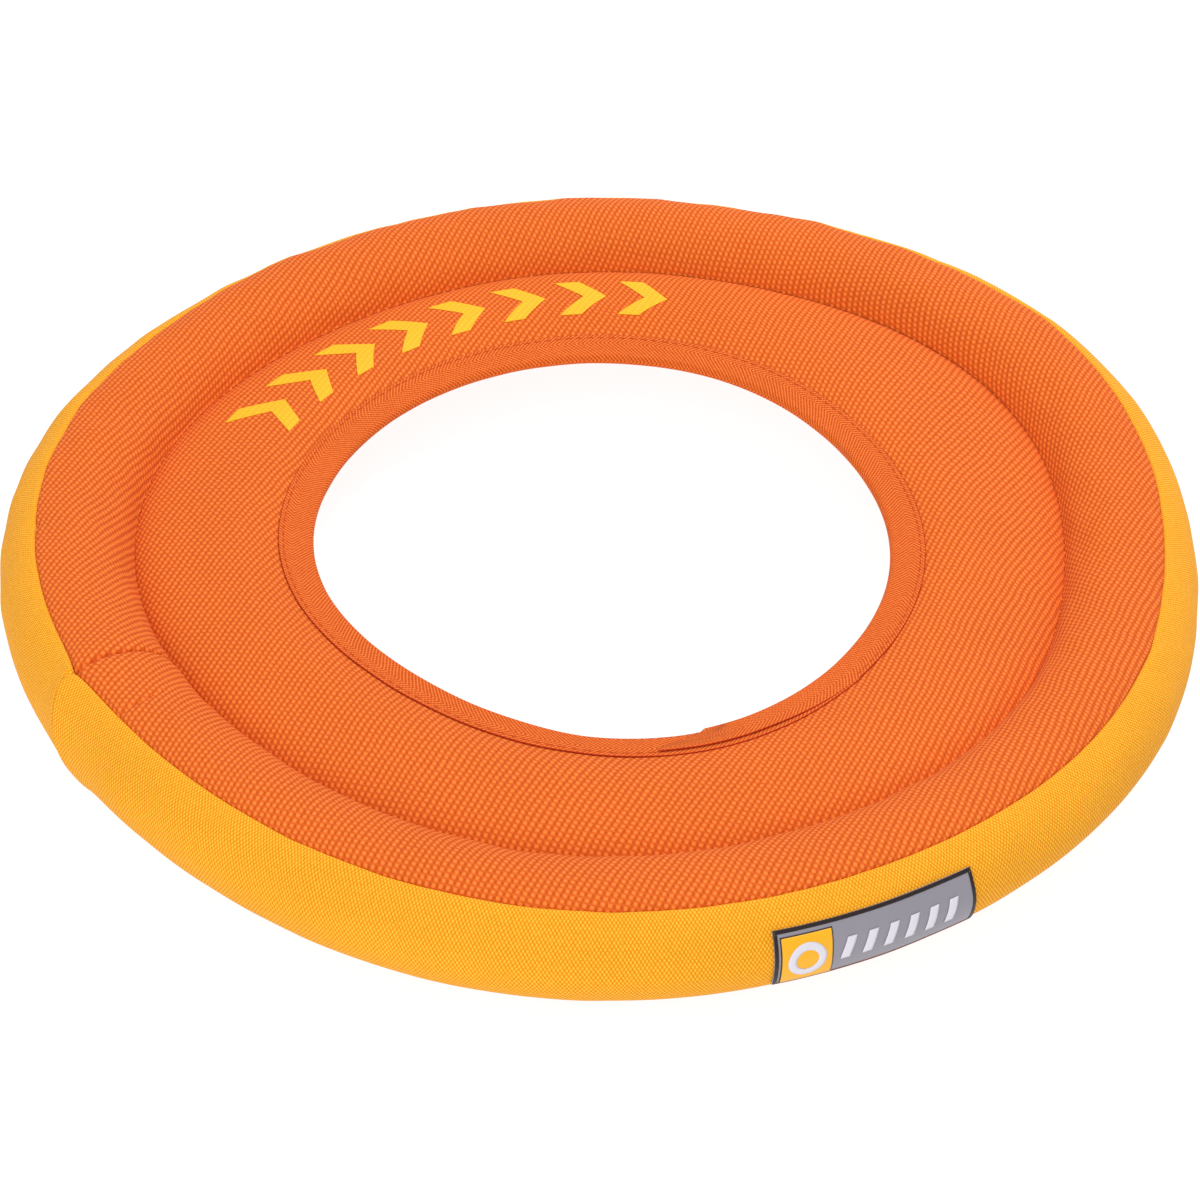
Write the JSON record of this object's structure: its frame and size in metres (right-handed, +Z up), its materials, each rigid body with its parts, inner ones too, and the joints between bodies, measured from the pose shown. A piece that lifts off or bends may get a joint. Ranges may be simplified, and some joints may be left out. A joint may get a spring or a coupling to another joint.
{
  "type": "flying ring",
  "caption": "Soft throwing ring: a foam-filled cloth rim round a thin padded web with a taped centre hole.",
  "frame": {"origin": "under the centre of the ring, at the height of its underside", "axes": "+Z up through the hole, along the ring's axis; -Y is the side seen in front, with the label on it at the front right"},
  "size_m": [0.28, 0.28, 0.025],
  "materials": {
    "orange_cloth": "coarse plain mesh weave, dull",
    "yellow_cloth": "fine woven cloth, dull",
    "orange_tape": "fine herringbone tape",
    "foam": "closed-cell foam, matte",
    "orange_thread": "polyester sewing thread",
    "yellow_thread": "polyester sewing thread",
    "label_film": "flexible label film, satin",
    "yellow_ink": "heat-bonded print film"
  },
  "bodies": {
    "root": {"top_panel": "orange_cloth", "bottom_panel": "orange_cloth", "rim_band": "yellow_cloth", "rim_foam": "foam", "web_foam": "foam", "inner_binding": "orange_tape", "top_seam_thread": "orange_thread", "bottom_seam_thread": "orange_thread", "groove_thread_top": "orange_thread", "groove_thread_bottom": "orange_thread", "binding_stitch_top": "orange_thread", "binding_stitch_bottom": "orange_thread", "band_joint_thread": "yellow_thread", "label_patch": "label_film", "top_print_1": "yellow_ink", "top_print_2": "yellow_ink", "top_print_3": "yellow_ink", "top_print_4": "yellow_ink", "top_print_5": "yellow_ink", "top_print_6": "yellow_ink", "top_print_7": "yellow_ink", "top_print_8": "yellow_ink"}
  },
  "joints": []
}
